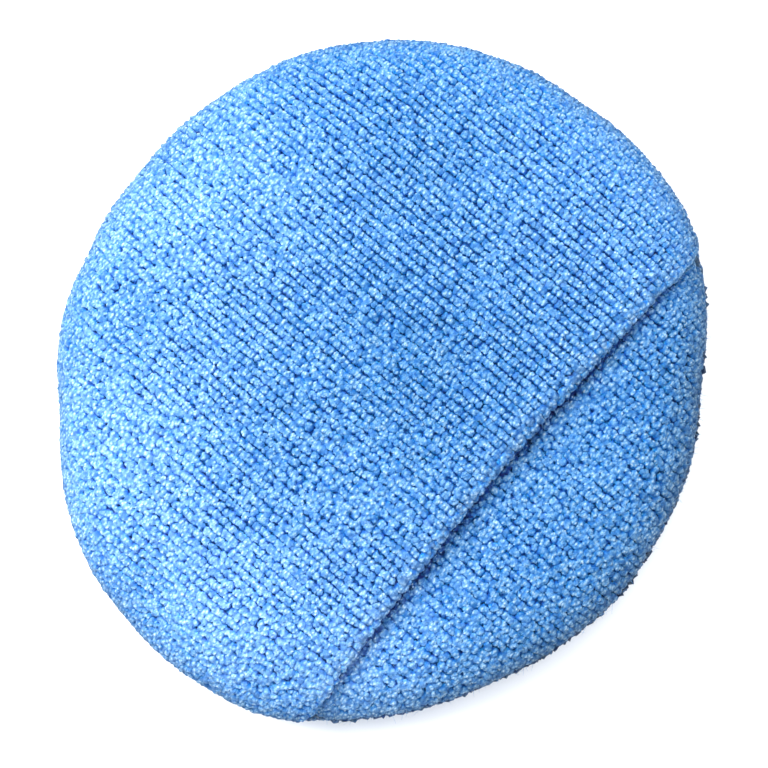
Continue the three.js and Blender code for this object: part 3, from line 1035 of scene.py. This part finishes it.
class PAD_OT_pocket(bpy.types.Operator):
    """Adds the finger pocket with its folded mouth, as a left and a right half that meet without a step"""

    bl_idname = "pad.pocket"
    bl_label = "Finger pocket"

    def execute(self, context):
        sizes = context.scene.pad_sizes
        fold, depth = Fold(sizes), sizes.pile - ROOTS
        ground, pile = finish("knitted_polyester_ground"), finish("microfibre_terry_pile")
        for side, name in SIDES:
            widest = fold.panel.edge(np.array(0.0 if side > 0 else np.pi)) - 0.4
            slabs = (("panel", half_panel(fold, side, widest, depth)), ("hem", half_hem(fold, side, depth)))
            piles = (
                ("far", panel_pile(fold, side, True)),
                ("near", panel_pile(fold, side, False)),
                ("hem", hem_pile(fold, side)),
            )
            pieces = [face_outwards(new_piece(f"pocket_{n}_{name}_cloth", *data, ground)) for n, data in slabs]
            for label, (points, faces, values) in piles:
                pieces.append(new_piece(f"pocket_{label}_{name}_pile", points, faces, pile, **values))
            for piece in pieces:
                open_with_mouth(sewn(piece, "terry", body=None))
            cloth, *others = pieces
            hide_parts("pocket_panel")
            if side < 0:
                others.append(bpy.data.objects["pocket_seam_edge_cloth"])
            tall = (fold.panel.edge(np.array(np.pi / 2)) - MOUTH_Y) * MM
        return {"FINISHED"}


LOCK_INSET = 6.9  # from the rim to the lock-stitched side seam
LOCK_THREADS = (("seam_needle_thread", 12.0, -1), ("seam_bobbin_thread", 8.0, 1))  # height, way to the cloth
LACE_INSET = 9.3  # from the rim to the overlock's lacing
LACE_SIZE = (0.9, 2.2)  # half its width and half its height
LACE_Z = 10.0
CLOSING_STITCHES = 14
CLOSING_WIDTH = 1.6


def dips(turn):
    """A stitch is flat and dips into the cloth at its ends: a high power of a cosine."""
    return np.abs(np.cos(turn)) ** 6


def oval(radius, angle, z):
    """Points of a closed line round the pad, at a radius before the outline's own shape."""
    r = radius * rim(angle) / MEAN_RADIUS
    return np.stack([r * np.cos(angle), r * np.sin(angle), z], -1)


class PAD_OT_stitching(bpy.types.Operator):
    """Adds the stitching: the hem, the side seam with its overlock, and the closing stitches"""

    bl_idname = "pad.stitching"
    bl_label = "Stitching"

    def execute(self, context):
        sizes = context.scene.pad_sizes
        self.hem(sizes)
        self.side_seam(sizes)
        self.closing(sizes)
        return {"FINISHED"}

    @staticmethod
    def thread(name, node, path, sizes, body="pad", closed=False):
        """A thread along a path, which stands for a node."""
        tube = cord_along(path, sizes.thread / 2, closed)
        piece = face_outwards(new_piece(name, *tube, finish("spun_polyester_thread")))
        return sewn(piece, "sewing_thread", node, body)

    def hem(self, sizes):
        """Lock stitches along the hem: a thread that dips into the cloth between two stitches."""
        fold = Fold(sizes)
        for node, under in (("hem_needle_thread", False), ("hem_bobbin_thread", True)):
            for side, name in SIDES:
                end = abs(mouth_end(side)) - 3
                across = side * np.linspace(0, end, int(end / sizes.stitch) * 8)
                depth = sizes.pile - THREAD_LIFT + 0.5 * dips(np.pi * across / sizes.stitch)
                if under:
                    on = fold.length(across) - HEM_STITCHES - fold.height(across) / 2
                    path = fold.under(across, on, depth)
                else:
                    path = fold.panel.under(across, mouth(across) + sizes.hem - HEM_STITCHES, depth)
                open_with_mouth(self.thread(f"{node}_{name}", node, path, sizes, body=None))

    def side_seam(self, sizes):
        """Two threads that lock between the edges, and an overlock thread that laces over their ends."""
        around = 2 * np.pi * (MEAN_RADIUS - 9.1)
        stitches = int(around / sizes.stitch)
        angle = np.linspace(0, 2 * np.pi, stitches * 8, endpoint=False)
        for node, z, way in LOCK_THREADS:
            path = oval(MEAN_RADIUS - LOCK_INSET, angle, z + way * 0.35 * dips(stitches * angle / 2))
            self.thread(f"{node}_stitches", node, path, sizes, closed=True)
        stitches = int(around / (sizes.stitch * 0.8))
        angle = np.linspace(0, 2 * np.pi, stitches * 12, endpoint=False)
        wide, high = LACE_SIZE
        radius = MEAN_RADIUS - LACE_INSET + wide * (1 - np.cos(stitches * angle))
        path = oval(radius, angle, LACE_Z + high * np.sin(stitches * angle))
        self.thread("overlock_thread_lacing", "overlock_thread", path, sizes, closed=True)

    def closing(self, sizes):
        """Whip stitches over the slit in the face cover."""
        low, high = low_high("closing_thread")
        along = np.linspace(0, 1, CLOSING_STITCHES * 12)
        x = low[0] + (high[0] - low[0]) * along
        turn = 2 * np.pi * CLOSING_STITCHES * along
        y = (low[1] + high[1]) / 2 + CLOSING_WIDTH * np.sin(turn)
        path = PANELS["face"].under(x, y, sizes.pile - THREAD_LIFT + 0.35 * np.cos(turn))
        self.thread("closing_thread_stitches", "closing_thread", path, sizes)


class PAD_OT_seam_edge(bpy.types.Operator):
    """Adds the pocket's sewn-down edge inside the side seam"""

    bl_idname = "pad.seam_edge"
    bl_label = "Pocket edge in the seam"

    def execute(self, context):
        end = math.asin(MOUTH_Y / HALF_DEPTH)
        angle = np.linspace(end, np.pi - end, 260)[:, None]
        share = np.linspace(0, 1, 8)[None]
        ripple = 0.12 * np.sin(64 * angle) * (1 - share)
        top, under = (
            oval(MEAN_RADIUS - 9.0 + 6.2 * share, angle, z + ripple) for z in (EDGE_TOP - 0.1, EDGE_LOW + 0.1)
        )
        ground = finish("knitted_polyester_ground")
        piece = face_outwards(new_piece("pocket_seam_edge_cloth", *slab(top, under), ground))
        sewn(piece, "terry", "pocket_seam_edge")
        return {"FINISHED"}


# ---------------------------------------------------------------- stage
def aim(thing, at):
    """Turns a light or camera at a point: its -Z axis towards it."""
    thing.rotation_euler = (Vector(at) - thing.location).to_track_quat("-Z", "Y").to_euler()


TABLE_HALF = 1500.0
LIGHTS = (  # watts, the side of the light, and its place in metres
    ("window_light", 6.5, 0.42, (-0.03, 0.345, 0.49)),
    ("fill_light", 11.6, 1.0, (0.5, -0.2, 1.1)),
)
SKY = ((0.93, 0.96, 1.0, 1.0), 1.08)  # colour and strength
LENS, FILM = 109.8, 36.0
TILT, ROLL = math.radians(10), math.radians(-50)
EYE, LOOKED_AT = 0.445, Vector((0, -0.0023, 0.012))  # how far the camera is from what it looks at, in metres


class PAD_OT_stage(bpy.types.Operator):
    """Adds the table top, the soft lights and the camera"""

    bl_idname = "pad.stage"
    bl_label = "Stage"

    def execute(self, context):
        points = TABLE_HALF * np.array([[-1, -1, 0], [1, -1, 0], [1, 1, 0], [-1, 1, 0]])
        floor = new_piece("table_top", points, [[[0, 1, 2, 3]]], finish("satin_white_laminate"), smooth=False)
        for name, power, size, place in LIGHTS:
            light = bpy.data.lights.new(name, "AREA")
            light.energy, light.size = power, size
            lamp = bpy.data.objects.new(name, light)
            bpy.context.collection.objects.link(lamp)
            lamp.location = place
            aim(lamp, (0, 0, 0))
        world = bpy.data.worlds.new("white_room")
        world.use_nodes = True
        sky = world.node_tree.nodes["Background"].inputs
        sky["Color"].default_value, sky["Strength"].default_value = SKY
        context.scene.world = world
        context.scene.view_settings.view_transform = "Standard"
        context.scene.view_settings.look = "None"

        eye = bpy.data.cameras.new("camera")
        eye.lens, eye.sensor_width = LENS, FILM
        camera = bpy.data.objects.new("camera", eye)
        bpy.context.collection.objects.link(camera)
        camera.location = LOOKED_AT + EYE * Vector((0, -math.sin(TILT), math.cos(TILT)))
        look = (LOOKED_AT - camera.location).to_track_quat("-Z", "Y").to_matrix()
        camera.rotation_euler = (look @ Matrix.Rotation(ROLL, 3, "Z")).to_euler()
        context.scene.camera = camera
        return {"FINISHED"}


class PAD_PT_panel(bpy.types.Panel):
    """The pad's pieces and settings"""

    bl_idname = "PAD_PT_panel"
    bl_label = "Polishing pad"
    bl_space_type = "VIEW_3D"
    bl_region_type = "UI"
    bl_category = "Polishing pad"

    def draw(self, context):
        for group in (context.scene.pad_sizes, context.scene.pad_colours):
            box = self.layout.box()
            for name in group.__annotations__:
                box.prop(group, name)
        for operator in OPERATORS:
            self.layout.operator(operator.bl_idname)


OPERATORS = (
    PAD_OT_stuffing,
    PAD_OT_foam,
    PAD_OT_covers,
    PAD_OT_seam_edge,
    PAD_OT_pocket,
    PAD_OT_stitching,
    PAD_OT_stage,
)
CLASSES = (PadSizes, PadColours, *OPERATORS, PAD_PT_panel)


def register():
    for item in CLASSES:
        bpy.utils.register_class(item)
    bpy.types.Scene.pad_sizes = PointerProperty(type=PadSizes)
    bpy.types.Scene.pad_colours = PointerProperty(type=PadColours)


def unregister():
    del bpy.types.Scene.pad_sizes, bpy.types.Scene.pad_colours
    for item in reversed(CLASSES):
        bpy.utils.unregister_class(item)


def main():
    register()
    bpy.ops.pad.stuffing()
    bpy.ops.pad.foam()
    bpy.ops.pad.covers()
    bpy.ops.pad.seam_edge()
    bpy.ops.pad.pocket()
    bpy.ops.pad.stitching()
    bpy.ops.pad.stage()


if __name__ == "__main__":
    main()
